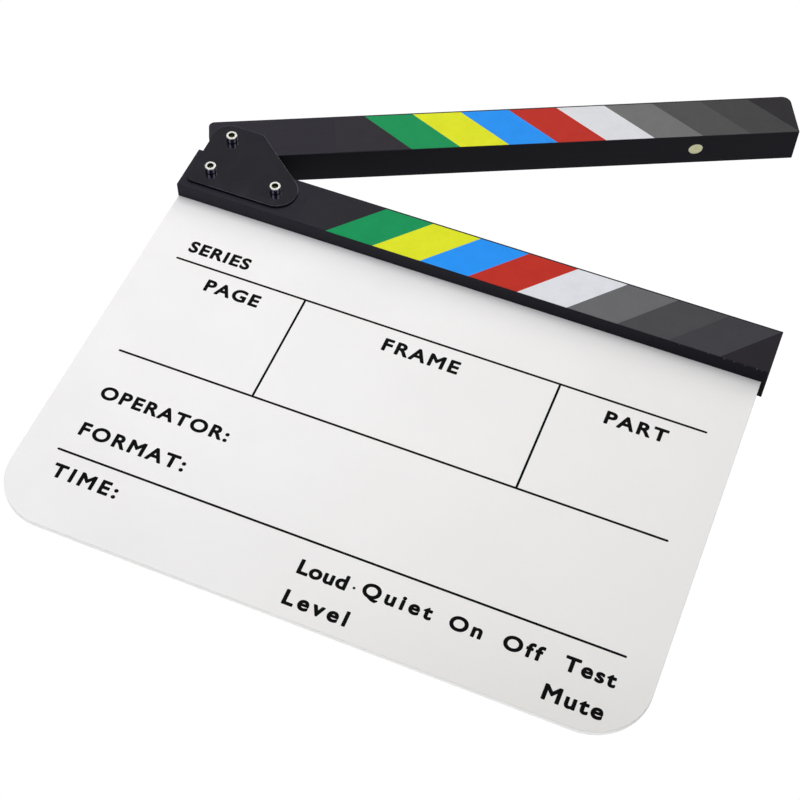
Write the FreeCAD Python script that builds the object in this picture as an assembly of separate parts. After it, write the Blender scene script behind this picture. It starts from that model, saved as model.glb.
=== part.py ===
"""Clapperboard: a white acrylic slate held in a grooved lower stick, with an upper
stick that swings on a bolted plate hinge at the left end.

Millimetres. The part lies on its back: +Z points out of the writing face, +X runs
along the sticks away from the hinge, +Y runs from the slate's foot to the sticks.
Dimensions below are in shop coordinates: x from a datum by the sticks' left ends,
y from a line just inside the lower stick's lower edge, z from the slate's front face. ORIGIN then moves
all of it to the part frame, whose origin is under the middle of the part, on the table.
"""

import FreeCAD
import Part

import math
import os

V = FreeCAD.Vector

# ----------------------------------------------------------------- dimensions
# sticks
STICK_X0 = 0.3           # lower stick, left end
STICK_L = 300.0          # lower stick, end to end
STICK_Y0 = -0.25         # its lower edge
STICK_W = 25.3           # face width of both sticks
STICK_T = 19.3           # lower stick, front face to back face
STICK_FRONT = 8.35       # its front face stands this far in front of the slate's
UP_T = 19.0              # upper stick is thinner by two shim washers
EDGE_R = 0.3             # broken long edges
END_R = 0.25

# slate
BOARD_T = 3.0
BOARD_X0 = 0.5           # left edge
BOARD_W = 297.6
BOARD_FOOT = -194.1      # lower edge
BOARD_IN = 10.0          # depth held in the groove
BOARD_R = 26.0           # rounded foot corners
BOARD_EDGE = 0.25        # polished edge break
GROOVE_W = 3.1
GROOVE_D = 10.2

# hinge
OPEN_DEG = 25.95         # opening of the stored pose, counted from closed
CLAP_GAP = 0.15          # between the clap faces when closed
PIVOT_X = 13.7
PIVOT_IN = 10.8          # pivot above the upper stick's clap face
PIVOT_Y = STICK_Y0 + STICK_W + CLAP_GAP + PIVOT_IN
UP_LEFT = 11.85          # pivot to the upper stick's left end
UP_RIGHT = 286.65        # pivot to its right end
UP_R_TL = 3.0            # rounded outer corners
UP_R_TR = 4.5
HEEL_R = 15.0            # rounded heel, so that the stick can swing up
PLATE_T = 1.3
PLATE_LEFT = 3.25        # outline of the hinge plates
PLATE_FOOT = 3.45
PLATE_TOP = 45.25
PLATE_NOSE = (48.6, 13.9, 10.45)     # centre and radius of the rounded nose
PLATE_SLOPE = 39.5       # fall of the edge from the top to the nose, degrees
PLATE_R_TL = 8.6
PLATE_R_BL = 3.0
PLATE_R_TR = 3.5
PLATE_EDGE = 0.2
BOLT_LEFT = (12.7, 13.4)
BOLT_RIGHT = (47.9, 13.4)

# no. 6 socket head cap screws, one inch long, with hex nuts and plain washers
BOLT_D = 3.5
HEAD_D = 5.75
HEAD_H = 3.5
HEAD_R = 0.4             # rounded top edge
HEAD_FOOT = 0.45         # chamfer under the head
SOCKET_AF = 2.8
SOCKET_DEPTH = 1.9
BOLT_LEN = 25.4
NUT_AF = 7.9
NUT_H = 2.6
WASHER_D = 9.5
WASHER_T = 0.9
FIT = 0.05               # radial room around every shank, pin and plug
HOLE_D = 3.7             # bolt holes
SLEEVE_D = 6.0
SHIM_D = 12.0
SHIM_T = 0.15

# magnets, in the middle of the clap faces
MAGNET_D = 7.5
MAGNET_T = 3.0
MAGNET_SINK = 0.4
MAGNET_X = 249.0         # with the sticks closed

# screws that hold the slate in the groove, driven from the back
SCREW_X = (75.0, 145.0, 215.0, 285.0)
SCREW_Y = 5.0
SCREW_D = 2.9
SCREW_HEAD_D = 5.6
SCREW_L = 16.0

# printed film on the stick faces
FILM_T = 0.1
FILM_NEAR = 0.32         # margin along the clap side of the upper stick and the slate side of the lower
FILM_FAR = 1.0           # margin along the other long edge
FILM_END = 0.5           # margin at the right end
FILM_FROM = 64.0         # film starts here, from each stick's left end

# part frame: shop coordinates of its origin (middle of the box, at its foot)
ORIGIN = (149.0050, -10.5716, -15.75)

# ------------------------------------------------------------------- levels
Z_FRONT = STICK_FRONT                    # lower stick, front
Z_BACK = STICK_FRONT - STICK_T           # lower stick, back
Z_MID = 0.5 * (Z_FRONT + Z_BACK)
Z_UF = Z_MID + 0.5 * UP_T                # upper stick, front
Z_UB = Z_MID - 0.5 * UP_T                # upper stick, back
Y_LOWER = STICK_Y0 + STICK_W             # lower stick, clap face
Y_UPPER = Y_LOWER + CLAP_GAP             # upper stick, clap face, closed


# ------------------------------------------------------------------- helpers
def cyl(r, h, x, y, z, axis=V(0, 0, 1)):
    return Part.makeCylinder(r, h, V(x, y, z), axis)


def hexagon(af, h, x, y, z, turn=0.0):
    r = af / math.sqrt(3.0)
    pts = [V(x + r * math.cos(math.radians(60 * i + turn)), y + r * math.sin(math.radians(60 * i + turn)), z) for i in range(6)]
    return Part.Face(Part.makePolygon(pts + pts[:1])).extrude(V(0, 0, h))


def rounded(points, z, h):
    """Closed prism over a polygon whose corners (x, y, r) are rounded."""
    n = len(points)
    legs = []
    for i in range(n):
        (ax, ay, _), (bx, by, r), (cx, cy, _) = points[i - 1], points[i], points[(i + 1) % n]
        a, b, c = V(ax, ay, z), V(bx, by, z), V(cx, cy, z)
        u, w = (a - b).normalize(), (c - b).normalize()
        if r <= 0:
            legs.append((b, None, b))
            continue
        half = 0.5 * u.getAngle(w)
        cut = r / math.tan(half)
        mid = (u + w).normalize()
        centre = b + mid * (r / math.sin(half))
        legs.append((b + u * cut, centre - mid * r, b + w * cut))
    edges = []
    for i in range(n):
        start, arc, end = legs[i]
        if arc is not None:
            edges.append(Part.Arc(start, arc, end).toShape())
        nxt = legs[(i + 1) % n][0]
        if (nxt - end).Length > 1e-6:
            edges.append(Part.LineSegment(end, nxt).toShape())
    return Part.Face(Part.Wire(edges)).extrude(V(0, 0, h))


def edges_at(shape, test):
    found = []
    for e in shape.Edges:
        b = e.BoundBox
        if test(b, e):
            found.append(e)
    return found


def is_flat_z(b, z):
    return abs(b.ZMin - z) < 1e-6 and abs(b.ZMax - z) < 1e-6


# --------------------------------------------------------------------- slate
def make_board():
    x0, x1 = BOARD_X0, BOARD_X0 + BOARD_W
    board = rounded([(x0, BOARD_IN, 0), (x0, BOARD_FOOT, BOARD_R), (x1, BOARD_FOOT, BOARD_R), (x1, BOARD_IN, 0)], -BOARD_T, BOARD_T)
    rim = edges_at(board, lambda b, e: is_flat_z(b, 0.0) or is_flat_z(b, -BOARD_T))
    board = board.makeFillet(BOARD_EDGE, rim)
    for x in SCREW_X:
        board = board.cut(cyl(0.5 * SCREW_D + 0.15, BOARD_T + 2, x, SCREW_Y, -BOARD_T - 1))
    return board


# --------------------------------------------------------------- lower stick
def screw_body(x, grow=0.0):
    """Countersunk wood screw driven along +Z from the back of the lower stick."""
    r, rh = 0.5 * SCREW_D + grow, 0.5 * SCREW_HEAD_D + grow
    z0, z1 = Z_BACK, Z_BACK + SCREW_L + grow
    prof = [V(x, SCREW_Y, z0), V(x + rh, SCREW_Y, z0), V(x + rh, SCREW_Y, z0 + 0.25), V(x + r, SCREW_Y, z0 + 0.25 + rh - r), V(x + r, SCREW_Y, z1 - 2.2), V(x + 0.3, SCREW_Y, z1), V(x, SCREW_Y, z1)]
    face = Part.Face(Part.makePolygon(prof + prof[:1]))
    return face.revolve(V(x, SCREW_Y, 0), V(0, 0, 1), 360)


def make_lower_stick():
    bar = Part.makeBox(STICK_L, STICK_W, STICK_T, V(STICK_X0, STICK_Y0, Z_BACK))
    bar = bar.makeFillet(EDGE_R, edges_at(bar, lambda b, e: b.XLength > STICK_L - 1))
    ends = edges_at(bar, lambda b, e: b.XLength < 1e-6 and e.Length > 0.0)
    bar = bar.makeFillet(END_R, ends)
    groove = Part.makeBox(STICK_L + 2, GROOVE_D + 1, GROOVE_W, V(STICK_X0 - 1, -1, -0.5 * (BOARD_T + GROOVE_W)))
    bar = bar.cut(groove)
    for bx, by in (BOLT_LEFT, BOLT_RIGHT):
        bar = bar.cut(cyl(0.5 * HOLE_D, STICK_T + 2, bx, by, Z_BACK - 1))
    for x in SCREW_X:
        bar = bar.cut(screw_body(x, FIT).fuse(cyl(0.5 * SCREW_HEAD_D + FIT, 0.5, x, SCREW_Y, Z_BACK - 0.5)))
    pocket = cyl(0.5 * MAGNET_D + FIT, MAGNET_T + MAGNET_SINK, MAGNET_X, Y_LOWER - MAGNET_T - MAGNET_SINK, Z_MID, V(0, 1, 0))
    return bar.cut(pocket)


def make_lower_magnet():
    m = cyl(0.5 * MAGNET_D, MAGNET_T - 0.02, MAGNET_X, Y_LOWER - MAGNET_T - MAGNET_SINK + 0.02, Z_MID, V(0, 1, 0))
    return m.makeFillet(0.3, [e for e in m.Edges if e.Closed and abs(e.BoundBox.YMin - (Y_LOWER - MAGNET_SINK)) < 1e-6])


def cross_recess(x):
    """Tapered cross recess in a screw head, opening towards -Z."""
    z = Z_BACK - 0.01
    tool = None
    for turn in (0, 90):
        a = Part.makeBox(3.1, 0.62, 1.0, V(x - 1.55, SCREW_Y - 0.31, z))
        a.rotate(V(x, SCREW_Y, 0), V(0, 0, 1), turn)
        tool = a if tool is None else tool.fuse(a)
    return tool.fuse(Part.makeCone(0.75, 0.2, 1.7, V(x, SCREW_Y, z), V(0, 0, 1)))


def make_screw(x):
    return screw_body(x).cut(cross_recess(x))


# --------------------------------------------------------------- upper stick
def make_upper_stick():
    """Built closed, on top of the lower stick, and swung open later."""
    x0, x1 = PIVOT_X - UP_LEFT, PIVOT_X + UP_RIGHT
    y0 = Y_UPPER
    y1 = y0 + STICK_W
    bar = rounded([(x0, y0, HEEL_R), (x1, y0, 0.6), (x1, y1, UP_R_TR), (x0, y1, UP_R_TL)], Z_UB, UP_T)
    rim = edges_at(bar, lambda b, e: is_flat_z(b, Z_UF) or is_flat_z(b, Z_UB))
    bar = bar.makeFillet(EDGE_R, rim)
    bar = bar.cut(cyl(0.5 * SLEEVE_D + FIT, UP_T + 2, PIVOT_X, PIVOT_Y, Z_UB - 1))
    pocket = cyl(0.5 * MAGNET_D + FIT, MAGNET_T + MAGNET_SINK, MAGNET_X, y0, Z_MID, V(0, 1, 0))
    return bar.cut(pocket)


def make_upper_magnet():
    y = Y_UPPER + MAGNET_SINK
    m = cyl(0.5 * MAGNET_D, MAGNET_T - 0.02, MAGNET_X, y, Z_MID, V(0, 1, 0))
    return m.makeFillet(0.3, [e for e in m.Edges if e.Closed and abs(e.BoundBox.YMin - y) < 1e-6])


# --------------------------------------------------------------------- films
def make_lower_film():
    x0, x1 = STICK_X0 + FILM_FROM, STICK_X0 + STICK_L - FILM_END
    y0, y1 = STICK_Y0 + FILM_NEAR, Y_LOWER - FILM_FAR
    return rounded([(x0, y0, 0), (x1, y0, 0.3), (x1, y1, 0.3), (x0, y1, 0)], Z_FRONT, FILM_T)


def make_upper_film():
    x0, x1 = PIVOT_X - UP_LEFT + FILM_FROM, PIVOT_X + UP_RIGHT - FILM_END
    y0 = Y_UPPER + FILM_NEAR
    y1 = Y_UPPER + STICK_W - FILM_FAR
    return rounded([(x0, y0, 0), (x1, y0, 0.3), (x1, y1, UP_R_TR - 0.5 * (FILM_END + FILM_FAR)), (x0, y1, 0)], Z_UF, FILM_T)


# --------------------------------------------------------------------- hinge
def plate_outline():
    """Corners of the hinge plate, each with its rounding."""
    nx, ny, nr = PLATE_NOSE
    s = math.radians(PLATE_SLOPE)
    tx, ty = nx + nr * math.sin(s), ny + nr * math.cos(s)       # the sloping edge touches the nose here
    top_x = tx - (PLATE_TOP - ty) / math.tan(s)
    corner_x = tx + (ty - PLATE_FOOT) / math.tan(s)             # sloping edge carried down to the foot line
    return [(PLATE_LEFT, PLATE_FOOT, PLATE_R_BL), (corner_x, PLATE_FOOT, nr), (top_x, PLATE_TOP, PLATE_R_TR), (PLATE_LEFT, PLATE_TOP, PLATE_R_TL)]


def make_plate(z0, outer_z):
    plate = rounded(plate_outline(), z0, PLATE_T)
    plate = plate.makeFillet(PLATE_EDGE, edges_at(plate, lambda b, e: is_flat_z(b, outer_z)))
    for bx, by in (BOLT_LEFT, BOLT_RIGHT, (PIVOT_X, PIVOT_Y)):
        plate = plate.cut(cyl(0.5 * HOLE_D, PLATE_T + 2, bx, by, z0 - 1))
    return plate


def make_bolt(x, y, turn):
    """Socket head cap screw, head on the front plate, shank along -Z."""
    z = Z_FRONT + PLATE_T
    head = cyl(0.5 * HEAD_D, HEAD_H, x, y, z)
    head = head.makeFillet(HEAD_R, [e for e in head.Edges if e.Closed and abs(e.BoundBox.ZMin - (z + HEAD_H)) < 1e-6])
    head = head.makeChamfer(HEAD_FOOT, [e for e in head.Edges if e.Closed and abs(e.BoundBox.ZMax - z) < 1e-6])
    top = z + HEAD_H
    rim = Part.makeCone(0.5 * SOCKET_AF * 0.98, 0.5 * SOCKET_AF * 1.2, 0.3, V(x, y, top - 0.295), V(0, 0, 1))
    drill = Part.makeCone(0.25, 0.5 * SOCKET_AF, 0.6, V(x, y, top - SOCKET_DEPTH - 0.59), V(0, 0, 1))
    socket = hexagon(SOCKET_AF, SOCKET_DEPTH + 0.1, x, y, top - SOCKET_DEPTH, turn).fuse(rim).fuse(drill)
    shank = cyl(0.5 * BOLT_D, BOLT_LEN, x, y, z - BOLT_LEN)
    shank = shank.makeChamfer(0.45, [e for e in shank.Edges if e.Closed and abs(e.BoundBox.ZMax - (z - BOLT_LEN)) < 1e-6])
    return head.cut(socket).fuse(shank).removeSplitter()


def make_washer(x, y):
    z = Z_BACK - PLATE_T - WASHER_T
    washer = cyl(0.5 * WASHER_D, WASHER_T, x, y, z).cut(cyl(0.5 * BOLT_D + 0.15, WASHER_T + 2, x, y, z - 1))
    return washer.makeFillet(0.15, [e for e in washer.Edges if e.Closed and is_flat_z(e.BoundBox, z) and e.BoundBox.XLength > WASHER_D - 0.1])


def make_nut(x, y, turn):
    z = Z_BACK - PLATE_T - WASHER_T - NUT_H
    nut = hexagon(NUT_AF, NUT_H, x, y, z, turn)
    r = NUT_AF / math.sqrt(3.0)
    rf = 0.5 * NUT_AF * 0.98
    rise = (r - rf) * math.tan(math.radians(30))
    prof = [V(x, y, z), V(x + rf, y, z), V(x + r + 0.01, y, z + rise), V(x + r + 0.01, y, z + NUT_H - rise), V(x + rf, y, z + NUT_H), V(x, y, z + NUT_H)]
    body = Part.Face(Part.makePolygon(prof + prof[:1])).revolve(V(x, y, 0), V(0, 0, 1), 360)
    nut = nut.common(body)
    bore = cyl(0.5 * BOLT_D + FIT, NUT_H + 2, x, y, z - 1)
    lead = Part.makeCone(0.5 * BOLT_D + 0.4, 0.5 * BOLT_D + FIT, 0.35, V(x, y, z), V(0, 0, 1))
    return nut.cut(bore).cut(lead)


def make_sleeve():
    return cyl(0.5 * SLEEVE_D, STICK_T, PIVOT_X, PIVOT_Y, Z_BACK).cut(cyl(0.5 * BOLT_D + FIT, STICK_T + 2, PIVOT_X, PIVOT_Y, Z_BACK - 1))


def make_thrust(z):
    return cyl(0.5 * SHIM_D, SHIM_T, PIVOT_X, PIVOT_Y, z).cut(cyl(0.5 * SLEEVE_D + FIT, SHIM_T + 2, PIVOT_X, PIVOT_Y, z - 1))


# ------------------------------------------------------------------ assembly
FIXED = {
    "writing_board": make_board(),
    "lower_clapstick": make_lower_stick(),
    "lower_magnet": make_lower_magnet(),
    "lower_stripe_film": make_lower_film(),
    "front_hinge_plate": make_plate(Z_FRONT, Z_FRONT + PLATE_T),
    "rear_hinge_plate": make_plate(Z_BACK - PLATE_T, Z_BACK - PLATE_T),
    "pivot_bolt": make_bolt(PIVOT_X, PIVOT_Y, 12),
    "hinge_bolt_left": make_bolt(BOLT_LEFT[0], BOLT_LEFT[1], 41),
    "hinge_bolt_right": make_bolt(BOLT_RIGHT[0], BOLT_RIGHT[1], 27),
    "pivot_nut": make_nut(PIVOT_X, PIVOT_Y, 8),
    "hinge_nut_left": make_nut(BOLT_LEFT[0], BOLT_LEFT[1], 33),
    "hinge_nut_right": make_nut(BOLT_RIGHT[0], BOLT_RIGHT[1], 17),
    "pivot_washer": make_washer(PIVOT_X, PIVOT_Y),
    "hinge_washer_left": make_washer(*BOLT_LEFT),
    "hinge_washer_right": make_washer(*BOLT_RIGHT),
    "pivot_sleeve": make_sleeve(),
    "thrust_washer_front": make_thrust(Z_FRONT - SHIM_T),
    "thrust_washer_rear": make_thrust(Z_BACK),
}
for i, sx in enumerate(SCREW_X):
    FIXED["board_screw_%d" % (i + 1)] = make_screw(sx)

SWINGING = {
    "upper_clapstick": make_upper_stick(),
    "upper_magnet": make_upper_magnet(),
    "upper_stripe_film": make_upper_film(),
}
for shape in SWINGING.values():
    shape.rotate(V(PIVOT_X, PIVOT_Y, 0), V(0, 0, 1), OPEN_DEG)

os.makedirs("parts", exist_ok=True)
for old in os.listdir("parts"):
    if old.endswith(".step"):
        os.remove(os.path.join("parts", old))
lo, hi = [1e9] * 3, [-1e9] * 3
for name, shape in {**FIXED, **SWINGING}.items():
    shape.translate(V(-ORIGIN[0], -ORIGIN[1], -ORIGIN[2]))
    if not shape.isValid() or len(shape.Solids) != 1:
        print("CHECK", name, "valid", shape.isValid(), "solids", len(shape.Solids))
    shape.exportStep(os.path.join("parts", name + ".step"))
    b = shape.optimalBoundingBox()
    lo = [min(lo[0], b.XMin), min(lo[1], b.YMin), min(lo[2], b.ZMin)]
    hi = [max(hi[0], b.XMax), max(hi[1], b.YMax), max(hi[2], b.ZMax)]
print("box", [round(v, 4) for v in lo], [round(v, 4) for v in hi])
print("middle of the box at its foot, from the part origin", [round(0.5 * (lo[0] + hi[0]), 4), round(0.5 * (lo[1] + hi[1]), 4), round(lo[2], 4)])
print("pivot in the part frame", round(PIVOT_X - ORIGIN[0], 4), round(PIVOT_Y - ORIGIN[1], 4))
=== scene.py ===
import math

import bmesh
import bpy
import numpy as np
from mathutils import Matrix, Vector


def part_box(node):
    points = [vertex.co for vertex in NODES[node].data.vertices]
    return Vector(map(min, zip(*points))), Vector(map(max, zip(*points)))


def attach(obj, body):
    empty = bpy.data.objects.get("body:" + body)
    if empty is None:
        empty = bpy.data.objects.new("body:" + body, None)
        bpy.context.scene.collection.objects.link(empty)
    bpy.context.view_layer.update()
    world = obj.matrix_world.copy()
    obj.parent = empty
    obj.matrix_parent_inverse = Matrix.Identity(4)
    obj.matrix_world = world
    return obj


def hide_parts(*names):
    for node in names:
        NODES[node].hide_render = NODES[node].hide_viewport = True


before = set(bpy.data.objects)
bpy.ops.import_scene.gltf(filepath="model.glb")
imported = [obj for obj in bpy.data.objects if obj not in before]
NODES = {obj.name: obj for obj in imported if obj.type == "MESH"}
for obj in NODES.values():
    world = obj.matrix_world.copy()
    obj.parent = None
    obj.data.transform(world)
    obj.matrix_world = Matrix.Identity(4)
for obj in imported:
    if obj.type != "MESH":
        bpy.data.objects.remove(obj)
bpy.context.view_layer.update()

scene = bpy.context.scene

# ------------------------------------------------------------------ references
# Shop coordinates, in millimetres: x from a datum 0.5 mm left of the slate's left
# edge, y from 0.25 mm inside the lower stick's lower edge, z from the slate's front face.
STICK_LO, STICK_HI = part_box("lower_clapstick")
BOARD_LO, BOARD_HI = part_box("writing_board")
SHOP = Vector((BOARD_LO.x - 0.0005, STICK_LO.y + 0.00025, BOARD_HI.z))

STICK_X0, STICK_X1, STICK_Y0, STICK_Y1 = 0.3, 300.3, -0.25, 25.05
LOWER_Z = (-10.95, 8.35)             # back and front of the lower stick
UPPER_Z = (-10.8, 8.2)               # back and front of the upper stick
PIVOT = (13.7, 36.0)
OPEN = math.radians(25.95)
CLAP_V, OUTER_V = -10.8, 14.5        # the upper stick's long edges, across from the pivot
UP_LEFT, UP_RIGHT = -11.85, 286.65   # its ends, along from the pivot
MAGNET_X = 249.0
HEAD_TOP = 13.15                     # top of the bolt heads
BOLTS = {"pivot_bolt": PIVOT, "hinge_bolt_left": (12.7, 13.4), "hinge_bolt_right": (47.9, 13.4)}


def at(x, y, z=0.0):
    return Vector((SHOP.x + x / 1000, SHOP.y + y / 1000, SHOP.z + z / 1000))


def on_upper(u, v):
    """Shop x, y of a point u along and v across the upper stick, from the pivot."""
    c, s = math.cos(OPEN), math.sin(OPEN)
    return PIVOT[0] + c * u - s * v, PIVOT[1] + s * u + c * v


def lin(r, g, b):
    """Linear colour from 8-bit display values."""
    def one(c):
        c /= 255.0
        return c / 12.92 if c <= 0.04045 else ((c + 0.055) / 1.055) ** 2.4
    return (one(r), one(g), one(b), 1.0)


# ------------------------------------------------------------------- materials
class Mat:
    """A Principled material with small helpers for its procedural nodes."""

    def __init__(self, name):
        self.m = bpy.data.materials.new(name)
        self.m.use_nodes = True
        self.t = self.m.node_tree
        self.t.nodes.clear()
        self.out = self.t.nodes.new("ShaderNodeOutputMaterial")
        self.b = self.t.nodes.new("ShaderNodeBsdfPrincipled")
        self.t.links.new(self.b.outputs["BSDF"], self.out.inputs["Surface"])

    def set(self, **values):
        for key, value in values.items():
            self.b.inputs[key.replace("_", " ")].default_value = value
        return self

    def put(self, socket, source):
        self.t.links.new(source, self.b.inputs[socket])
        return self

    def node(self, kind, props=None, **sockets):
        n = self.t.nodes.new(kind)
        for key, value in (props or {}).items():
            setattr(n, key, value)
        for key, value in sockets.items():
            s = n.inputs[int(key[1:])] if key[0] == "i" and key[1:].isdigit() else n.inputs[key.replace("_", " ")]
            if isinstance(value, bpy.types.NodeSocket):
                self.t.links.new(value, s)
            else:
                s.default_value = value
        return n

    def shop(self):
        """Object coordinates as shop millimetres."""
        tc = self.node("ShaderNodeTexCoord")
        m = self.node("ShaderNodeMapping", Vector=tc.outputs["Object"], Scale=(1000, 1000, 1000), Location=tuple(-1000 * SHOP))
        return m.outputs[0]

    def upper(self):
        """Object coordinates as millimetres along, across and out of the upper stick, from the pivot."""
        turn = Matrix.Rotation(-OPEN, 3, "Z")
        p = turn @ (1000 * at(PIVOT[0], PIVOT[1], 0))
        tc = self.node("ShaderNodeTexCoord")
        m = self.node("ShaderNodeMapping", Vector=tc.outputs["Object"], Scale=(1000, 1000, 1000), Rotation=(0, 0, -OPEN), Location=tuple(-p))
        return m.outputs[0]

    def stretch(self, vec, sx, sy, sz, ox=0.0, oy=0.0, oz=0.0):
        return self.node("ShaderNodeMapping", Vector=vec, Scale=(sx, sy, sz), Location=(ox, oy, oz)).outputs[0]

    def noise(self, vec, scale, detail=2.0, rough=0.5, distortion=0.0):
        n = self.node("ShaderNodeTexNoise", Vector=vec, Scale=scale, Detail=detail, Roughness=rough, Distortion=distortion)
        return n.outputs["Fac"] if "Fac" in n.outputs else n.outputs[0]

    def cells(self, vec, scale):
        """(distance to the nearest seed in cell widths, a random number of that cell)."""
        n = self.node("ShaderNodeTexVoronoi", {"feature": "F1"}, Vector=vec, Scale=scale, Randomness=1.0)
        s = self.node("ShaderNodeSeparateColor", Color=n.outputs["Color"])
        return n.outputs["Distance"], s.outputs[0]

    def math(self, op, a, b=0.0, c=0.0, clamp=False):
        n = self.node("ShaderNodeMath", {"operation": op, "use_clamp": clamp}, i0=a, i1=b)
        if op in ("MULTIPLY_ADD", "SMOOTH_MIN", "COMPARE"):
            if isinstance(c, bpy.types.NodeSocket):
                self.t.links.new(c, n.inputs[2])
            else:
                n.inputs[2].default_value = c
        return n.outputs[0]

    def between(self, fac, a, b, lo=0.0, hi=1.0, smooth=False):
        """fac carried from a..b to lo..hi, held at the ends."""
        n = self.node("ShaderNodeMapRange", {"clamp": True, "interpolation_type": "SMOOTHSTEP" if smooth else "LINEAR"}, i0=fac, i1=a, i2=b, i3=lo, i4=hi)
        return n.outputs[0]

    def mix(self, fac, a, b):
        n = self.node("ShaderNodeMix", {"data_type": "RGBA", "clamp_factor": True})
        for i, value in ((0, fac), (6, a), (7, b)):
            if isinstance(value, bpy.types.NodeSocket):
                self.t.links.new(value, n.inputs[i])
            else:
                n.inputs[i].default_value = value
        return n.outputs[2]

    def bump(self, height, strength, distance_mm, normal=None):
        n = self.node("ShaderNodeBump", Strength=strength, Distance=distance_mm / 1000, Height=height)
        if normal is not None:
            self.t.links.new(normal, n.inputs["Normal"])
        return n.outputs[0]

    def xyz(self, vec):
        return self.node("ShaderNodeSeparateXYZ", Vector=vec).outputs

    def specks(self, vec, cell_mm, size_mm, share):
        """Sparse round grains: one in a share of the cells, no wider than twice size_mm."""
        d, r = self.cells(vec, 1.0 / cell_mm)
        small = self.between(d, 0.35 * size_mm / cell_mm, size_mm / cell_mm, 1.0, 0.0, True)
        return self.math("MULTIPLY", small, self.math("LESS_THAN", r, share))

    def spot(self, vec, where, size_mm):
        """One small mark around a point."""
        d = self.node("ShaderNodeVectorMath", {"operation": "DISTANCE"}, i0=vec, i1=where).outputs["Value"]
        return self.between(d, 0.4 * size_mm, size_mm, 1.0, 0.0, True)


# small knocks along the lower stick's front edge, towards its free end: x, size
KNOCKS = ((271.6, 0.28), (279.3, 0.36), (283.8, 0.30), (289.0, 0.26), (294.5, 0.38), (258.2, 0.2), (296.8, 0.2))
# front colours of the lower (False) and upper (True) stick; the upper stick's is set lighter, a painted sheen
LACQUER = {False: ((39, 38, 44), (41, 40, 46)), True: ((46, 44, 50), (48, 46, 52))}
LACQUER_SIDE_AND_SHADE = {False: ((48, 48, 56), (25, 25, 32)), True: ((33, 32, 38), (39, 38, 44))}      # the near long side, from the hinge to the free end: lacquer with painted light and shade, the lower stick's lighter by the hinge and darker towards the free end, the upper stick's darker by the hinge


def paint_material(name, upper):
    """Satin black lacquer over wood: faint grain, fine spray texture, dust, and edges knocked through to the primer."""
    m = Mat(name)
    p = m.upper() if upper else m.shop()
    grain = m.noise(m.stretch(p, 0.025, 0.9, 0.9), 1.0, 5, 0.55, 0.25)
    spray = m.noise(p, 2.6, 3, 0.6)
    patch = m.noise(p, 0.045, 3, 0.5)
    x, y, z = m.xyz(p)
    # distance outside a bar that is shrunk by the edge rounding: large only along the long edges
    y0, y1 = (CLAP_V, OUTER_V) if upper else (STICK_Y0, STICK_Y1)
    z0, z1 = UPPER_Z if upper else LOWER_Z
    dy = m.math("SUBTRACT", m.math("ABSOLUTE", m.math("SUBTRACT", y, 0.5 * (y0 + y1))), 0.5 * (y1 - y0) - 0.28)
    dz = m.math("SUBTRACT", m.math("ABSOLUTE", m.math("SUBTRACT", z, 0.5 * (z0 + z1))), 0.5 * (z1 - z0) - 0.28)
    edge = m.math("MULTIPLY", m.between(dy, 0.0, 0.15), m.between(dz, 0.0, 0.15))
    chips = m.noise(m.stretch(p, 0.32, 0.9, 0.9, 3.1, 1.7, 0.4), 1.0, 6, 0.7)
    worn = m.math("MULTIPLY", edge, m.between(chips, 0.715, 0.75))
    if not upper:
        for kx, size in KNOCKS:
            worn = m.math("MAXIMUM", worn, m.spot(p, (kx, STICK_Y0 + 0.05, z1 - 0.12), size))
    dust = m.specks(p, 11.0, 0.22, 0.22)
    lint = m.specks(m.stretch(p, 0.35, 1.0, 1.0, 7.0, 2.0, 5.0), 9.0, 0.16, 0.08)
    low, high = LACQUER[upper]
    dark = m.mix(m.between(grain, 0.3, 0.7), lin(*low), lin(*high))
    turn = -OPEN if upper else 0.0
    n = m.node("ShaderNodeMapping", {"vector_type": "NORMAL"}, Vector=m.node("ShaderNodeTexCoord").outputs["Normal"], Rotation=(0, 0, turn))
    # painted light and shade along the near side, from the hinge to the free end
    side = m.mix(m.between(x, 0.0, 300.0), lin(*LACQUER_SIDE_AND_SHADE[upper][0]), lin(*LACQUER_SIDE_AND_SHADE[upper][1]))
    side = m.mix(m.between(grain, 0.3, 0.7, 0.0, 0.06), side, lin(60, 58, 62))
    if not upper:
        side = m.mix(m.between(z, -1.0, 0.0, 0.75, 0.0), side, lin(3, 3, 4))      # painted shade: the near side is darkened below the slate's front face
    dark = m.mix(m.between(m.xyz(n.outputs[0])[1], -0.9, -0.5, 1.0, 0.0), dark, side)
    dark = m.mix(m.between(m.xyz(n.outputs[0])[0], 0.5, 0.9, 0.0, 0.0 if upper else 1.0), dark, lin(43, 46, 50))      # the lower stick's free end face is set lighter and greener
    dark = m.mix(m.math("MULTIPLY", worn, 0.6), dark, lin(150, 148, 146))
    dark = m.mix(m.math("MULTIPLY", m.math("MAXIMUM", dust, lint), 0.35), dark, lin(170, 168, 166))
    m.put("Base Color", dark)
    rough = m.math("ADD", m.between(patch, 0.3, 0.7, 0.44, 0.52), m.between(spray, 0.3, 0.7, -0.03, 0.05))
    m.put("Roughness", m.math("ADD", rough, m.math("MULTIPLY", worn, 0.25)))
    n = m.bump(grain, 0.06, 0.03)
    n = m.bump(spray, 0.22, 0.012, n)
    n = m.bump(m.math("MULTIPLY", worn, -1.0), 0.6, 0.05, n)
    m.put("Normal", n)
    m.set(Specular_IOR_Level=0.06)
    return m.m


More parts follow.
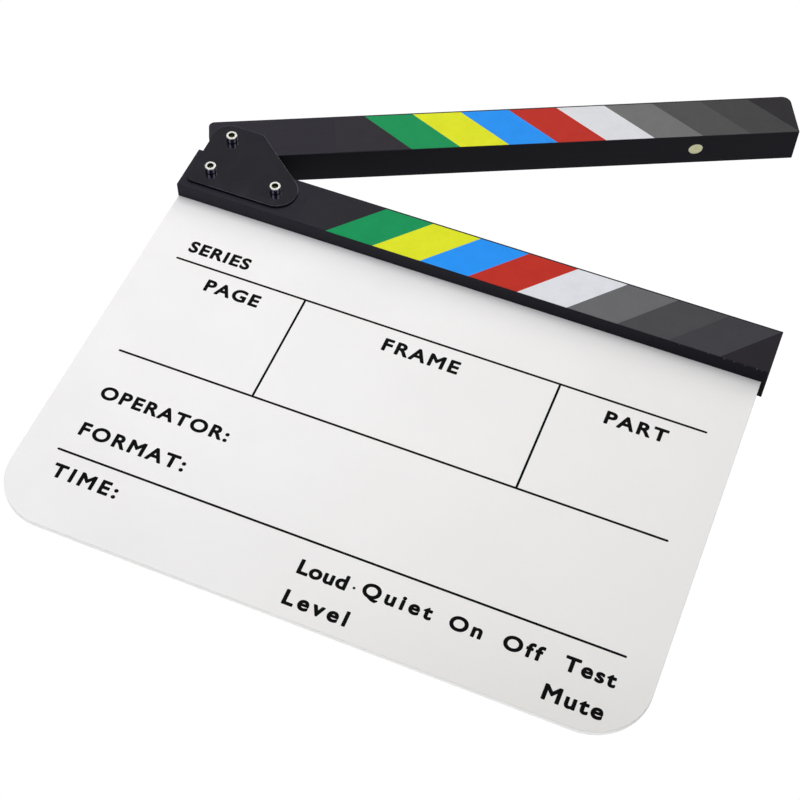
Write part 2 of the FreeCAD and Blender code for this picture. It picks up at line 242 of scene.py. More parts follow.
def vinyl_material(name, colour, upper, dusty=0.3):
    """Printed satin film: slight mottle in the ink, a soft uneven sheen, dust."""
    m = Mat(name)
    p = m.upper() if upper else m.shop()
    mottle = m.noise(p, 0.12, 4, 0.6)
    screen = m.noise(p, 3.4, 2, 0.5)
    sheen = m.noise(m.stretch(p, 0.012, 0.06, 0.06), 1.0, 3, 0.5)
    dark = tuple(c * 0.95 for c in colour[:3]) + (1.0,)
    light = tuple(min(1.0, c * 1.04 + 0.0008) for c in colour[:3]) + (1.0,)
    ink = m.mix(m.between(m.math("ADD", m.math("MULTIPLY", mottle, 0.7), m.math("MULTIPLY", screen, 0.3)), 0.35, 0.65), dark, light)
    dust = m.specks(p, 11.0, 0.22, 0.2)
    ink = m.mix(m.math("MULTIPLY", dust, dusty), ink, lin(178, 177, 175))
    m.put("Base Color", ink)
    m.put("Roughness", m.math("ADD", m.between(sheen, 0.3, 0.7, 0.42, 0.50), m.between(screen, 0.3, 0.7, -0.02, 0.03)))
    m.put("Normal", m.bump(screen, 0.12, 0.01, m.bump(mottle, 0.08, 0.05)))
    m.set(Specular_IOR_Level=0.06)
    return m.m


def acrylic_material():
    """Satin white acrylic: wiped face, milky cut edges, light that spreads a little inside."""
    m = Mat("white_acrylic_sheet")
    p = m.shop()
    geo = m.node("ShaderNodeNewGeometry")
    nz = m.math("ABSOLUTE", m.xyz(geo.outputs["Normal"])[2])
    face = m.between(nz, 0.55, 0.95)
    cloud = m.noise(p, 0.02, 3, 0.5)
    wipe = m.noise(m.stretch(p, 0.012, 0.16, 0.16), 1.0, 4, 0.6, 0.6)
    fine = m.noise(p, 1.6, 2, 0.5)
    white = m.mix(m.between(cloud, 0.3, 0.7), lin(238, 236, 233), lin(242, 240, 237))
    px, py, pz = m.xyz(p)
    # painted shade: the sheet is a little darker within about 35 mm of the lower stick, blending to lighter by 80 mm
    # below it
    white_unshaded = m.mix(m.between(cloud, 0.3, 0.7), lin(241, 239, 236), lin(245, 243, 240))
    white = m.mix(m.between(py, -35.0, -80.0), white, white_unshaded)
    painted_foot_shade = m.math("MULTIPLY", m.between(px, 90.0, 290.0), m.between(py, -40.0, -180.0, 0.5, 1.0))
    white = m.mix(painted_foot_shade, white, lin(241, 239, 233))      # painted shade: the sheet turns a little darker and yellower towards the free end of the foot
    painted_shade = m.math("MULTIPLY", m.between(px, 110.0, 290.0), m.between(py, -150.0, -194.0))
    white = m.mix(painted_shade, white, lin(234, 232, 226))     # handling grime where it is picked up by the foot
    saw = m.noise(m.stretch(p, 0.5, 0.5, 6.0), 1.0, 3, 0.6)
    edge = m.mix(m.between(saw, 0.35, 0.65), lin(231, 231, 228), lin(240, 240, 237))
    white = m.mix(face, edge, white)
    dust = m.specks(p, 18.0, 0.2, 0.14)
    white = m.mix(m.math("MULTIPLY", dust, 0.16), white, lin(120, 118, 114))
    m.put("Base Color", white)
    r = m.math("ADD", m.between(wipe, 0.3, 0.7, 0.42, 0.50), m.between(cloud, 0.3, 0.7, -0.02, 0.03))
    m.put("Roughness", m.math("ADD", r, m.between(nz, 0.55, 0.95, 0.12, 0.0)))
    m.put("Normal", m.bump(fine, 0.06, 0.01, m.bump(cloud, 0.10, 0.05)))
    m.set(Specular_IOR_Level=0.15, Subsurface_Weight=0.12, Subsurface_Radius=(1.0, 1.0, 1.0), Subsurface_Scale=0.0015)
    return m.m


def plate_material():
    """Gloss black enamel on a steel plate: handling marks, hairlines, a few grains of dust."""
    m = Mat("black_gloss_plate")
    p = m.shop()
    marks = m.noise(p, 0.10, 4, 0.6, 0.4)
    hair = m.noise(m.stretch(p, 0.10, 4.0, 1.0, 2.0, 9.0, 0.0), 1.0, 3, 0.7, 0.2)
    hair = m.between(hair, 0.62, 0.70)
    peel = m.noise(p, 0.55, 2, 0.5)
    dust = m.specks(p, 9.0, 0.2, 0.25)
    base = m.mix(m.between(marks, 0.35, 0.7), lin(8, 6, 19), lin(12, 10, 23))
    base = m.mix(m.math("MULTIPLY", dust, 0.35), base, lin(170, 169, 166))
    # the broken edges are duller than the flats, and the edges along the top carry a pale painted highlight
    geo = m.node("ShaderNodeNewGeometry")
    nx, ny, nz = m.xyz(geo.outputs["Normal"])
    nz = m.math("ABSOLUTE", nz)
    painted_edge_highlight = m.math("MULTIPLY", m.between(nz, 0.95, 0.99, 1.0, 0.0), m.between(nz, 0.05, 0.25))
    painted_edge_highlight = m.math("MULTIPLY", m.math("MULTIPLY", painted_edge_highlight, m.between(ny, 0.05, 0.3)), m.between(marks, 0.3, 0.6, 0.6, 1.0))
    m.put("Base Color", m.mix(painted_edge_highlight, base, lin(132, 129, 130)))
    r = m.math("ADD", m.between(marks, 0.35, 0.7, 0.06, 0.10), m.math("MULTIPLY", hair, 0.05))
    dull = m.math("MULTIPLY", m.between(nz, 0.93, 0.995, 0.90, 0.0), m.between(nz, 0.05, 0.25, 0.3, 1.0))
    dull = m.math("MULTIPLY", dull, m.between(ny, -0.05, 0.05, 1.0, 0.3))
    r = m.math("MAXIMUM", r, dull)
    m.put("Roughness", m.math("ADD", r, m.math("MULTIPLY", dust, 0.4)))
    m.put("Normal", m.bump(peel, 0.03, 0.03, m.bump(hair, 0.04, 0.01)))
    m.set(Specular_IOR_Level=0.5)
    return m.m


def turned_material(name, centre, base, top_rough, side_rough):
    """Turned stainless screw: concentric tool marks on the top, polished sides with a painted blue reflection tint,
    painted shade down in the socket with an olive floor.
    """
    m = Mat(name)
    p = m.shop()
    q = m.stretch(p, 1, 1, 1, -centre[0], -centre[1], 0.0)
    x, y, z = m.xyz(q)
    r = m.math("SQRT", m.math("ADD", m.math("MULTIPLY", x, x), m.math("MULTIPLY", y, y)))
    rings = m.math("SINE", m.math("MULTIPLY", r, 2 * math.pi / 0.11))
    geo = m.node("ShaderNodeNewGeometry")
    nz = m.math("ABSOLUTE", m.xyz(geo.outputs["Normal"])[2])
    flat = m.between(nz, 0.75, 0.97)
    spots = m.noise(p, 1.7, 4, 0.6)
    base2 = tuple(c * 0.9 for c in base[:3]) + (1.0,)
    steel = m.mix(m.between(spots, 0.35, 0.65), base2, base)
    # the sides get a bluer colour than the top: a painted reflection tint
    steel = m.mix(flat, STEEL_SIDE_PAINTED_BLUE, steel)
    # painted shade down in the hex socket: dark walls, lighter and olive at the floor
    inside = m.math("MULTIPLY", m.between(r, 1.62, 1.72, 1.0, 0.0), m.between(z, HEAD_TOP - 0.12, HEAD_TOP - 0.04, 1.0, 0.0))
    floor = m.between(z, HEAD_TOP - 2.0, HEAD_TOP - 1.8, 1.0, 0.0)
    painted_shade = m.mix(floor, (0.10, 0.10, 0.085, 1.0), (0.26, 0.26, 0.13, 1.0))
    m.put("Base Color", m.mix(inside, steel, painted_shade))
    rough = m.math("ADD", m.between(flat, 0.0, 1.0, side_rough, top_rough), m.between(spots, 0.3, 0.7, -0.03, 0.05))
    m.put("Roughness", m.math("ADD", rough, m.math("MULTIPLY", inside, 0.25)))
    m.put("Normal", m.bump(m.math("MULTIPLY", rings, flat), 0.15, 0.01, m.bump(spots, 0.06, 0.01)))
    m.set(Metallic=1.0)
    return m.m


def plated_material(name, base, rough_lo, rough_hi, scale, bump=0.2):
    """Plated or cast metal: grain, dull patches."""
    m = Mat(name)
    p = m.shop()
    a = m.noise(p, scale, 4, 0.65)
    b = m.noise(p, scale * 0.15, 3, 0.5)
    dark = tuple(c * 0.80 for c in base[:3]) + (1.0,)
    m.put("Base Color", m.mix(m.between(m.math("ADD", m.math("MULTIPLY", a, 0.6), m.math("MULTIPLY", b, 0.4)), 0.35, 0.65), dark, base))
    m.put("Roughness", m.between(b, 0.3, 0.7, rough_lo, rough_hi))
    m.put("Normal", m.bump(a, bump, 0.02))
    m.set(Metallic=1.0)
    return m.m


def magnet_material(name, upper):
    """Tumbled plating on a magnet plug: pale, warm, speckled, with a brighter rim."""
    m = Mat(name)
    p = m.upper() if upper else m.shop()
    cu = MAGNET_X - PIVOT[0] if upper else MAGNET_X
    x, y, z = m.xyz(m.stretch(p, 1, 1, 1, -cu, 0, -0.5 * (UPPER_Z[0] + UPPER_Z[1])))
    r = m.math("SQRT", m.math("ADD", m.math("MULTIPLY", x, x), m.math("MULTIPLY", z, z)))
    grit = m.noise(p, 2.4, 4, 0.7)
    blot = m.noise(p, 0.6, 3, 0.6)
    face = m.mix(m.between(m.math("ADD", m.math("MULTIPLY", grit, 0.5), m.math("MULTIPLY", blot, 0.5)), 0.40, 0.60), (0.80, 0.80, 0.46, 1.0), (0.97, 0.97, 0.64, 1.0))
    m.put("Base Color", m.mix(m.between(r, 3.15, 3.45), face, (0.98, 0.98, 0.80, 1.0)))
    m.put("Roughness", m.between(grit, 0.3, 0.7, 0.30, 0.45))
    m.put("Normal", m.bump(grit, 0.30, 0.03))
    m.set(Metallic=1.0)
    return m.m


def moulded_material(name, colour, rough, spec):
    """Plain moulded or oxide-black small part with fine texture."""
    m = Mat(name)
    p = m.shop()
    a = m.noise(p, 2.2, 3, 0.6)
    dark = tuple(c * 0.82 for c in colour[:3]) + (1.0,)
    m.put("Base Color", m.mix(m.between(a, 0.35, 0.65), dark, colour))
    m.put("Roughness", m.between(a, 0.3, 0.7, rough - 0.06, rough + 0.06))
    m.put("Normal", m.bump(a, 0.15, 0.015))
    m.set(Specular_IOR_Level=spec)
    return m.m


def ink_material():
    """Screen-printed black ink, slightly raised and a little uneven."""
    m = Mat("black_screen_ink")
    p = m.shop()
    a = m.noise(p, 1.8, 4, 0.65)
    m.put("Base Color", m.mix(m.between(a, 0.35, 0.68), lin(3, 3, 3), lin(7, 7, 8)))
    m.put("Roughness", m.between(a, 0.3, 0.7, 0.5, 0.62))
    m.put("Normal", m.bump(a, 0.12, 0.01))
    m.set(Specular_IOR_Level=0.06)
    return m.m


def dress(node, material):
    o = NODES[node]
    o.data.materials.clear()
    o.data.materials.append(material)


STEEL = (0.77, 0.765, 0.71, 1.0)
# bolt head sides: steel with a painted blue reflection tint
STEEL_SIDE_PAINTED_BLUE = (0.74, 0.74, 0.82, 1.0)
ZINC = (0.62, 0.63, 0.64, 1.0)
BRASS = (0.78, 0.60, 0.28, 1.0)

dress("writing_board", acrylic_material())
dress("lower_clapstick", paint_material("black_lacquer_lower", False))
dress("upper_clapstick", paint_material("black_lacquer_upper", True))
plate_mat = plate_material()
dress("front_hinge_plate", plate_mat)
dress("rear_hinge_plate", plate_mat)
for bolt, centre in BOLTS.items():
    dress(bolt, turned_material("stainless_" + bolt, centre, STEEL, 0.55, 0.10))
zinc_mat = plated_material("zinc_plate", ZINC, 0.28, 0.42, 2.0)
for n in ("pivot_nut", "hinge_nut_left", "hinge_nut_right", "pivot_washer", "hinge_washer_left", "hinge_washer_right"):
    dress(n, zinc_mat)
dress("pivot_sleeve", plated_material("turned_brass", BRASS, 0.22, 0.34, 1.6, 0.1))
nylon_mat = moulded_material("natural_nylon", lin(228, 226, 218), 0.5, 0.35)
dress("thrust_washer_front", nylon_mat)
dress("thrust_washer_rear", nylon_mat)
screw_mat = moulded_material("black_oxide_screw", lin(26, 26, 28), 0.38, 0.5)
for i in range(1, 5):
    dress("board_screw_%d" % i, screw_mat)
dress("lower_magnet", magnet_material("plated_plug_lower", False))
dress("upper_magnet", magnet_material("plated_plug_upper", True))


# ---------------------------------------------------------------- printed films
def prism(name, outline, z0, z1, material, body):
    """Closed flat piece over a convex outline of row-frame points (metres)."""
    bm = bmesh.new()
    low = [bm.verts.new((p.x, p.y, z0)) for p in outline]
    top = [bm.verts.new((p.x, p.y, z1)) for p in outline]
    bm.faces.new(top)
    bm.faces.new(low[::-1])
    n = len(outline)
    for i in range(n):
        bm.faces.new((low[i], low[(i + 1) % n], top[(i + 1) % n], top[i]))
    bmesh.ops.recalc_face_normals(bm, faces=bm.faces)
    me = bpy.data.meshes.new(name)
    bm.to_mesh(me)
    bm.free()
    o = bpy.data.objects.new(name, me)
    scene.collection.objects.link(o)
    me.materials.append(material)
    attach(o, body)
    return o


def clip(poly, nx, ny, d):
    """The part of a convex polygon where nx*x + ny*y >= d."""
    out = []
    for i, a in enumerate(poly):
        b = poly[(i + 1) % len(poly)]
        sa, sb = nx * a[0] + ny * a[1] - d, nx * b[0] + ny * b[1] - d
        if sa >= 0:
            out.append(a)
        if (sa < 0) != (sb < 0) and sa != sb:
            k = sa / (sa - sb)
            out.append((a[0] + k * (b[0] - a[0]), a[1] + k * (b[1] - a[1])))
    return [p for i, p in enumerate(out) if math.dist(p, out[i - 1]) > 1e-6]


def rounded_outline(x0, y0, x1, y1, radii):
    """Rectangle from its lower left corner, with radii (lower left, lower right, upper right, upper left)."""
    pts = []
    for (cx, cy, start), r in zip(((x0, y0, 180), (x1, y0, 270), (x1, y1, 0), (x0, y1, 90)), radii):
        if r <= 0:
            pts.append((cx, cy))
            continue
        mx = cx + (r if cx == x0 else -r)
        my = cy + (r if cy == y0 else -r)
        for k in range(13):
            a = math.radians(start + 90 * k / 12)
            pts.append((mx + r * math.cos(a), my + r * math.sin(a)))
    return pts


FILM_NEAR, FILM_FAR, FILM_END, FILM_FROM = 0.32, 1.0, 0.5, 64.0
PITCH = 24.582
# the upper stick's blacks and greys are set lighter than the lower stick's: painted sheen
FILM_COLOURS = (
    ("black_left", (41, 40, 45), (49, 46, 51)),
    ("green", (21, 143, 84), (29, 142, 83)),
    ("yellow", (219, 224, 37), (217, 222, 39)),
    ("blue", (38, 145, 238), (42, 143, 233)),
    ("red", (187, 48, 35), (184, 50, 39)),
    ("white", (221, 222, 224), (217, 217, 218)),
    ("grey_light", (104, 104, 105), (112, 112, 110)),
    ("grey_mid", (74, 73, 75), (82, 81, 80)),
    ("grey_dark", (65, 64, 67), (70, 70, 69)),
    ("black_right", (41, 38, 43), (49, 47, 49)),
)


def film(prefix, node, upper, outline, low_edge, high_edge, place, body):
    """Cuts the film outline into slanted stripes. low_edge and high_edge are (across, along of the first boundary)."""
    z0, z1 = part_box(node)[0].z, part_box(node)[1].z
    slope = (high_edge[1] - low_edge[1]) / (high_edge[0] - low_edge[0])
    first = low_edge[1] - slope * low_edge[0]
    for i, (word, lower_rgb, upper_rgb) in enumerate(FILM_COLOURS):
        poly = outline
        if i > 0:
            poly = clip(poly, 1.0, -slope, first + (i - 1) * PITCH)
        if i < len(FILM_COLOURS) - 1:
            poly = clip(poly, -1.0, slope, -(first + i * PITCH))
        mat = vinyl_material("film_%s_%s" % (prefix, word), lin(*(upper_rgb if upper else lower_rgb)), upper, 0.15 if word == "white" else 0.3)
        o = prism("%s_film_%s" % (prefix, word), [at(*place(*p)) for p in poly], z0, z1, mat, body)
        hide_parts(node)


film("lower", "lower_stripe_film", False,
     rounded_outline(STICK_X0 + FILM_FROM, STICK_Y0 + FILM_NEAR, STICK_X1 - FILM_END, STICK_Y1 - FILM_FAR, (0, 0.3, 0.3, 0)),
     (0.0, 80.5), (24.4, 102.95), lambda x, y: (x, y), "slate")
film("upper", "upper_stripe_film", True,
     rounded_outline(UP_LEFT + FILM_FROM, CLAP_V + FILM_NEAR, UP_RIGHT - FILM_END, OUTER_V - FILM_FAR, (0, 0.3, 4.5 - 0.5 * (FILM_END + FILM_FAR), 0)),
     (-10.62, 90.17), (13.76, 67.56), on_upper, "clapper")


# ------------------------------------------------------------ print on the slate
INK_T = 0.03
ink = ink_material()


def mesh_piece(name, bm, material, body):
    bmesh.ops.recalc_face_normals(bm, faces=bm.faces)
    me = bpy.data.meshes.new(name)
    bm.to_mesh(me)
    bm.free()
    me.materials.append(material)
    o = bpy.data.objects.new(name, me)
    scene.collection.objects.link(o)
    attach(o, body)
    return o


def add_flat(bm, pts):
    """One flat island of ink over a convex outline in shop millimetres."""
    low = [bm.verts.new(at(px, py, -0.01)) for px, py in pts]
    top = [bm.verts.new(at(px, py, INK_T)) for px, py in pts]
    bm.faces.new(top)
    bm.faces.new(low[::-1])
    for i in range(len(pts)):
        j = (i + 1) % len(pts)
        bm.faces.new((low[i], low[j], top[j], top[i]))


def add_rule(bm, x0, y0, x1, y1, width):
    """One ruled line of ink with softly rounded ends."""
    a, b = Vector((x0, y0)), Vector((x1, y1))
    d = (b - a).normalized()
    n = Vector((-d.y, d.x)) * (0.5 * width)
    r = 0.5 * width
    pts = []
    for centre, start in ((a, math.atan2(n.y, n.x)), (b, math.atan2(-n.y, -n.x))):
        for k in range(9):
            t = start + math.pi * k / 8
            c = centre + (d if centre is a else -d) * r
            q = c + Vector((math.cos(t), math.sin(t))) * r
            pts.append((q.x, q.y))
    add_flat(bm, pts)


RULES = (-36.63, -96.94, -156.04)
UPRIGHTS = (85.98, 213.73)
RULE_W = 1.10
bm = bmesh.new()
for y in RULES:
    add_rule(bm, 17.3, y, 283.1, y, RULE_W)
for x in UPRIGHTS:
    add_rule(bm, x, RULES[0] - 0.3, x, RULES[1] + 0.3, RULE_W)
mesh_piece("print_rules", bm, ink, "slate")

# Lettering: the built-in font's outlines, widened and then thickened to a bold weight.
WIDEN = 1.12
GROW = 0.38              # millimetres added all round each letter
STEP = 0.06              # grid of the distance field, millimetres


def outlines(word, spacing):
    """Closed outlines of a word, in em units, as a list of point arrays."""
    cu = bpy.data.curves.new("word", "FONT")
    cu.body = word
    cu.size = 1.0
    cu.space_character = spacing
    cu.resolution_u = 10
    cu.fill_mode = "NONE"
    o = bpy.data.objects.new("word", cu)
    scene.collection.objects.link(o)
    bpy.context.view_layer.update()
    me = bpy.data.meshes.new_from_object(o.evaluated_get(bpy.context.evaluated_depsgraph_get()))
    bpy.data.objects.remove(o)
    bpy.data.curves.remove(cu)
    near = {}
    for e in me.edges:
        a, b = e.vertices
        near.setdefault(a, []).append(b)
        near.setdefault(b, []).append(a)
    loops, seen = [], set()
    for start in near:
        if start in seen:
            continue
        loop, prev, here = [], None, start
        while here not in seen:
            seen.add(here)
            loop.append(me.vertices[here].co[:2])
            nxt = [k for k in near[here] if k != prev and k not in seen]
            if not nxt:
                break
            prev, here = here, nxt[0]
        if len(loop) > 2:
            loops.append(np.array(loop))
    bpy.data.meshes.remove(me)
    return loops


def islands(loops):
    """Loops gathered letter by letter: those whose spans in x overlap or nearly touch."""
    groups = []
    for loop in sorted(loops, key=lambda q: q[:, 0].min()):
        lo, hi = loop[:, 0].min(), loop[:, 0].max()
        if groups and lo < groups[-1][0] + 2.5 * GROW:
            groups[-1][0] = max(groups[-1][0], hi)
            groups[-1][1].append(loop)
        else:
            groups.append([hi, [loop]])
    return [g[1] for g in groups]


def thicken(loops):
    """The outlines moved outwards by GROW: the level line of their signed distance."""
    pts = np.vstack(loops)
    lo, hi = pts.min(0) - GROW - 3 * STEP, pts.max(0) + GROW + 3 * STEP
    xs, ys = np.arange(lo[0], hi[0] + STEP, STEP), np.arange(lo[1], hi[1] + STEP, STEP)
    gx, gy = np.meshgrid(xs, ys)
    best = np.full(gx.shape, 1e9)
    inside = np.zeros(gx.shape, bool)
    for loop in loops:
        for p, q in zip(loop, np.roll(loop, -1, 0)):
            ex, ey = q - p
            size = ex * ex + ey * ey
            if size < 1e-12:
                continue
            t = np.clip(((gx - p[0]) * ex + (gy - p[1]) * ey) / size, 0.0, 1.0)
            best = np.minimum(best, (gx - p[0] - t * ex) ** 2 + (gy - p[1] - t * ey) ** 2)
            if ey != 0.0:
                inside ^= ((p[1] > gy) != (q[1] > gy)) & (gx < p[0] + (gy - p[1]) * ex / ey)
    f = np.where(inside, -1.0, 1.0) * np.sqrt(best) - GROW
    f[f == 0.0] = 1e-9
    neg = f < 0
    ny, nx = f.shape
    link = {}

    def cross(a, b):
        """Where the level line cuts the grid edge from a to b, kept under the edge's own key."""
        k = f[a] / (f[a] - f[b])
        return (a, b) if a < b else (b, a), (xs[a[1]] + k * (xs[b[1]] - xs[a[1]]), ys[a[0]] + k * (ys[b[0]] - ys[a[0]]))

    where = {}
    cells = np.argwhere((neg[:-1, :-1] != neg[1:, :-1]) | (neg[:-1, :-1] != neg[:-1, 1:]) | (neg[:-1, :-1] != neg[1:, 1:]))
    for j, i in cells:
        ring = [(j, i), (j, i + 1), (j + 1, i + 1), (j + 1, i)]
        ring = [(int(a), int(b)) for a, b in ring]
        cuts = []
        for k in range(4):
            a, b = ring[k], ring[(k + 1) % 4]
            if neg[a] != neg[b]:
                key, xy = cross(a, b)
                where[key] = xy
                cuts.append((key, bool(neg[a])))
        # leave the inside through one edge and come back through the next one round the cell
        for k, (key, leaving) in enumerate(cuts):
            if leaving:
                link[key] = cuts[(k + 1) % len(cuts)][0]
    out, seen = [], set()
    for start in link:
        if start in seen:
            continue
        loop, here = [], start
        while here not in seen:
            seen.add(here)
            loop.append(where[here])
            here = link[here]
        out.append(thin(np.array(loop), 0.004))
    return [q for q in out if len(q) > 2]


def thin(loop, tol):
    """Drops the points of a closed outline that lie within tol of the line between the ones kept."""
    n = len(loop)
    far = int(np.argmax(((loop - loop[0]) ** 2).sum(1)))
    keep = {0, far}
    todo = [(0, far), (far, n)]
    while todo:
        a, b = todo.pop()
        if b - a < 2:
            continue
        p, q = loop[a], loop[b % n]
        e = q - p
        size = math.hypot(e[0], e[1])
        r = loop[a + 1:b] - p
        d = np.abs(r[:, 0] * e[1] - r[:, 1] * e[0]) / size if size > 1e-12 else np.hypot(r[:, 0], r[:, 1])
        k = int(np.argmax(d))
        if d[k] > tol:
            keep.add(a + 1 + k)
            todo += [(a, a + 1 + k), (a + 1 + k, b)]
    return loop[sorted(keep)]


def ink_mesh(loops):
    """Filled and raised islands of ink from closed outlines in shop millimetres."""
    cu = bpy.data.curves.new("ink", "CURVE")
    cu.dimensions = "2D"
    cu.fill_mode = "BOTH"
    cu.extrude = 1.0
    for loop in loops:
        s = cu.splines.new("POLY")
        s.points.add(len(loop) - 1)
        for point, (px, py) in zip(s.points, loop):
            point.co = (px, py, 0.0, 1.0)
        s.use_cyclic_u = True
    o = bpy.data.objects.new("ink", cu)
    scene.collection.objects.link(o)
    bpy.context.view_layer.update()
    me = bpy.data.meshes.new_from_object(o.evaluated_get(bpy.context.evaluated_depsgraph_get()))
    bpy.data.objects.remove(o)
    bpy.data.curves.remove(cu)
    for v in me.vertices:
        v.co = at(v.co.x, v.co.y, INK_T if v.co.z > 0 else -0.01)
    return me


H = np.vstack(outlines("H", 1.0))
H_LOW, H_HIGH = H[:, 1].min(), H[:, 1].max()


def set_word(word, x0, x1, base, cap):
    """Outlines of a word set between x0 and x1 on a base line by its letter spacing, at a cap height in millimetres."""
    s = (cap - 2 * GROW) / (H_HIGH - H_LOW)
    width = x1 - x0 - 2 * GROW
    spans = []
    for spacing in (1.0, 1.5):
        q = np.vstack(outlines(word, spacing))
        spans.append((q[:, 0].max() - q[:, 0].min()) * s * WIDEN)
    spacing = 1.0 + 0.5 * (width - spans[0]) / (spans[1] - spans[0])
    loops = outlines(word, spacing)
    left = min(q[:, 0].min() for q in loops)
    loops = [np.stack(((q[:, 0] - left) * s * WIDEN + x0 + GROW, (q[:, 1] - H_LOW) * s + base + GROW), 1) for q in loops]
    out = []
    for letter in islands(loops):
        out += thicken(letter)
    return out


WORDS = (
    ("SERIES", 20.4, 52.6, -31.0, 7.0),
    ("PAGE", 37.9, 66.2, -50.0, 7.2),
    ("FRAME", 130.0, 167.8, -50.0, 7.4),
    ("PART", 238.2, 267.4, -49.4, 7.3),
    ("OPERATOR:", 21.0, 85.6, -124.4, 7.1),
    ("FORMAT:", 21.8, 74.4, -146.0, 7.3),
    ("TIME:", 20.6, 53.1, -170.0, 7.3),
    ("Loud", 141.4, 164.0, -172.6, 7.3),
    ("Quiet", 170.7, 202.4, -171.9, 7.1),
    ("On", 210.0, 224.7, -172.0, 7.0),
    ("Off", 233.8, 251.4, -171.9, 7.1),
    ("Test", 260.1, 282.6, -171.5, 7.1),
    ("Level", 141.4, 170.6, -188.2, 7.4),
    ("Mute", 256.2, 282.0, -187.0, 7.4),
)
bm = bmesh.new()
for word in WORDS:
    letters = ink_mesh(set_word(*word))
    bm.from_mesh(letters)
    bpy.data.meshes.remove(letters)
add_flat(bm, [(167.25 + 0.62 * math.cos(2 * math.pi * k / 24), -169.8 + 0.62 * math.sin(2 * math.pi * k / 24)) for k in range(24)])
bmesh.ops.remove_doubles(bm, verts=bm.verts, dist=1e-7)
mesh_piece("print_labels", bm, ink, "slate")


# --------------------------------------------------------------- floor and light
def disc(name, z, material):
    bm = bmesh.new()
    prev = None
    for r in (0.6, 2.0, 6.0, 24.0):
        ring = [bm.verts.new((r * math.cos(2 * math.pi * k / 64), r * math.sin(2 * math.pi * k / 64), z)) for k in range(64)]
        if prev is None:
            bm.faces.new(ring)
        else:
            for k in range(64):
                bm.faces.new((prev[k], ring[k], ring[(k + 1) % 64], prev[(k + 1) % 64]))
        prev = ring
    me = bpy.data.meshes.new(name)
    bm.to_mesh(me)
    bm.free()
    me.materials.append(material)
    o = bpy.data.objects.new(name, me)
    scene.collection.objects.link(o)
    return o


def glow_material(name, strength, fore=None):
    """Pale lit sheet that is clear from below; fore is its strength in front of the slate's foot."""
    m = Mat(name)
    tc = m.node("ShaderNodeTexCoord")
    a = m.noise(tc.outputs["Object"], 3.0, 2, 0.5)
    shade = m.mix(m.between(a, 0.35, 0.65), (0.995, 0.995, 0.995, 1.0), (1.0, 1.0, 1.0, 1.0))
    if fore is not None:
        foot = BOARD_LO.y
        strength = m.between(m.xyz(tc.outputs["Object"])[1], foot - 0.01, foot + 0.02, fore, strength)
    lit = m.node("ShaderNodeEmission", Color=shade, Strength=strength)
    see = m.node("ShaderNodeBsdfTransparent")
    geo = m.node("ShaderNodeNewGeometry")
    both = m.node("ShaderNodeMixShader", i0=geo.outputs["Backfacing"], i1=lit.outputs[0], i2=see.outputs[0])
    m.t.links.new(both.outputs[0], m.out.inputs["Surface"])
    m.t.nodes.remove(m.b)
    return m.m


FLOOR_BOUNCE, FORE_BOUNCE = 0.54, 1.6
floor = disc("floor", -0.0001, glow_material("pale_floor", 1.02))
for kind in ("diffuse", "glossy", "transmission", "volume_scatter", "shadow"):
    setattr(floor, "visible_" + kind, False)
bounce = disc("floor_bounce", -0.0002, glow_material("pale_bounce", FLOOR_BOUNCE, FORE_BOUNCE))
bounce.visible_camera = False
bounce.visible_shadow = False

world = bpy.data.worlds.new("studio")
scene.world = world
world.use_nodes = True
wt = world.node_tree
wt.nodes.clear()


def wnode(kind, props=None, **inputs):
    n = wt.nodes.new(kind)
    for key, value in (props or {}).items():
        setattr(n, key, value)
    for key, value in inputs.items():
        s = n.inputs[int(key[1:])]
        if isinstance(value, bpy.types.NodeSocket):
            wt.links.new(value, s)
        else:
            s.default_value = value
    return n


def wdot(direction):
    d = Vector(direction).normalized()
    return wnode("ShaderNodeVectorMath", {"operation": "DOT_PRODUCT"}, i0=w_dir, i1=tuple(d)).outputs["Value"]


def wrange(fac, a, b, lo, hi):
    return wnode("ShaderNodeMapRange", {"interpolation_type": "SMOOTHSTEP"}, i0=fac, i1=a, i2=b, i3=lo, i4=hi).outputs[0]


def wmath(op, a, b):
    return wnode("ShaderNodeMath", {"operation": op}, i0=a, i1=b).outputs[0]


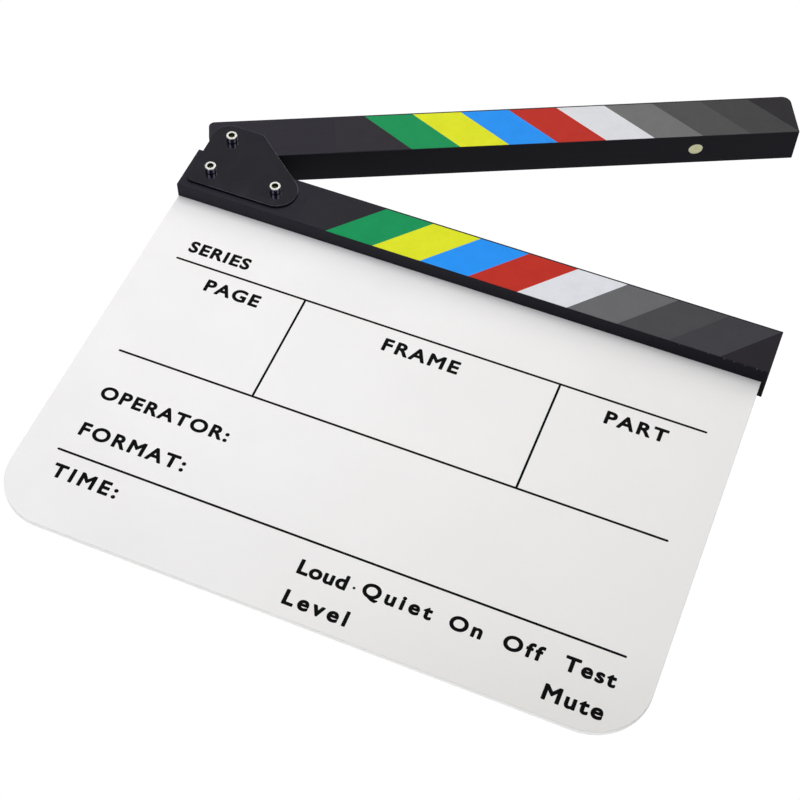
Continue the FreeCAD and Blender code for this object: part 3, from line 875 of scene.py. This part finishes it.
w_dir = wnode("ShaderNodeTexCoord").outputs["Generated"]
sky = wrange(wdot((-0.331, 0.596, 0.731)), math.cos(math.radians(34)), math.cos(math.radians(20)), 0.10, 0.46)      # dim room, one broad panel
sky = wmath("ADD", sky, wrange(wdot((0.25, 0.80, 0.55)), math.cos(math.radians(19)), math.cos(math.radians(13)), 0.0, 2.98))      # a lamp behind
lamps = None
for direction in ((-0.237, -0.517, 0.82), (0.572, -0.069, 0.82)):     # two small lamps in front, a little cooler
    one = wrange(wdot(direction), math.cos(math.radians(17)), math.cos(math.radians(12)), 0.0, 1.7)
    lamps = one if lamps is None else wmath("ADD", lamps, one)
w_room = wnode("ShaderNodeBackground", i0=(1.0, 1.0, 1.0, 1.0), i1=sky)
w_lamps = wnode("ShaderNodeBackground", i0=(0.93, 0.96, 1.14, 1.0), i1=lamps)
w_bg = wnode("ShaderNodeAddShader", i0=w_room.outputs[0], i1=w_lamps.outputs[0])
w_white = wnode("ShaderNodeBackground", i0=(1.0, 1.0, 1.0, 1.0), i1=1.02)
w_path = wnode("ShaderNodeLightPath")
w_mix = wnode("ShaderNodeMixShader", i0=w_path.outputs["Is Camera Ray"], i1=w_bg.outputs[0], i2=w_white.outputs[0])
w_out = wnode("ShaderNodeOutputWorld", i0=w_mix.outputs[0])


def area(name, where, aim, size_x, size_y, watts):
    li = bpy.data.lights.new(name, "AREA")
    li.shape = "RECTANGLE"
    li.size, li.size_y, li.energy = size_x, size_y, watts
    o = bpy.data.objects.new(name, li)
    scene.collection.objects.link(o)
    o.location = where
    o.rotation_mode = "QUATERNION"
    o.rotation_quaternion = (Vector(aim) - Vector(where)).to_track_quat("-Z", "Y")
    return o


key = area("key", (-0.18, 0.02, 0.90), (-0.18, 0.02, 0.0), 0.4, 0.4, 2.95)
key.visible_glossy = False
area("key_back", (-0.30, 0.42, 0.90), (-0.30, 0.42, 0.0), 0.4, 0.4, 2.93)
under = area("under", (0.0, 0.47, -0.80), (0.0, -0.02, 0.0), 0.8, 0.8, 6.0)      # for the back of the slate
under.visible_camera = False

# ----------------------------------------------------------------------- camera
cam = bpy.data.cameras.new("camera")
cam.sensor_width = 36.0
cam.lens = 73.2898
cam.shift_x = 0.0625
cam.clip_start, cam.clip_end = 0.01, 100.0
cam_o = bpy.data.objects.new("camera", cam)
scene.collection.objects.link(cam_o)
right = Vector((0.92072127, 0.39009475, -0.00992135))
up = Vector((-0.31637723, 0.76112983, 0.56620387))
back = Vector((0.22842459, -0.51817706, 0.82420552))
turn = Matrix((right, up, back)).transposed()
cam_o.rotation_mode = "QUATERNION"
cam_o.rotation_quaternion = turn.to_quaternion()
cam_o.location = at(297.7143, -466.5683, 612.1820)
scene.camera = cam_o

scene.view_settings.view_transform = "Standard"
scene.view_settings.look = "None"
scene.view_settings.exposure = 0.0
scene.view_settings.gamma = 1.0
